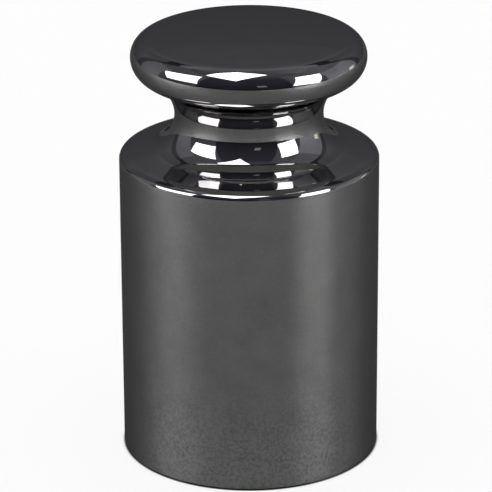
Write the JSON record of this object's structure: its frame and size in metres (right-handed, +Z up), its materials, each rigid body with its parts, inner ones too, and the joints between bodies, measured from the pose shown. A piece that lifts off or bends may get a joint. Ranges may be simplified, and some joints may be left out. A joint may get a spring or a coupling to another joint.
{
  "type": "calibration weight",
  "caption": "Mirror-polished cylindrical knob weight: straight body, gently sloping shoulder, hourglass groove for a lifting fork or fingers, and a domed knob.",
  "frame": {"origin": "centre of the flat resting face, which is the centre of the bounding box's bottom", "axes": "+Z up along the turning axis, from the resting face to the knob; the form is the same all round Z"},
  "size_m": [0.038, 0.038, 0.0643],
  "materials": {
    "polished_steel": "mirror polished, dark neutral grey, with very fine turning marks"
  },
  "bodies": {
    "root": {"weight": "polished_steel"}
  },
  "joints": []
}
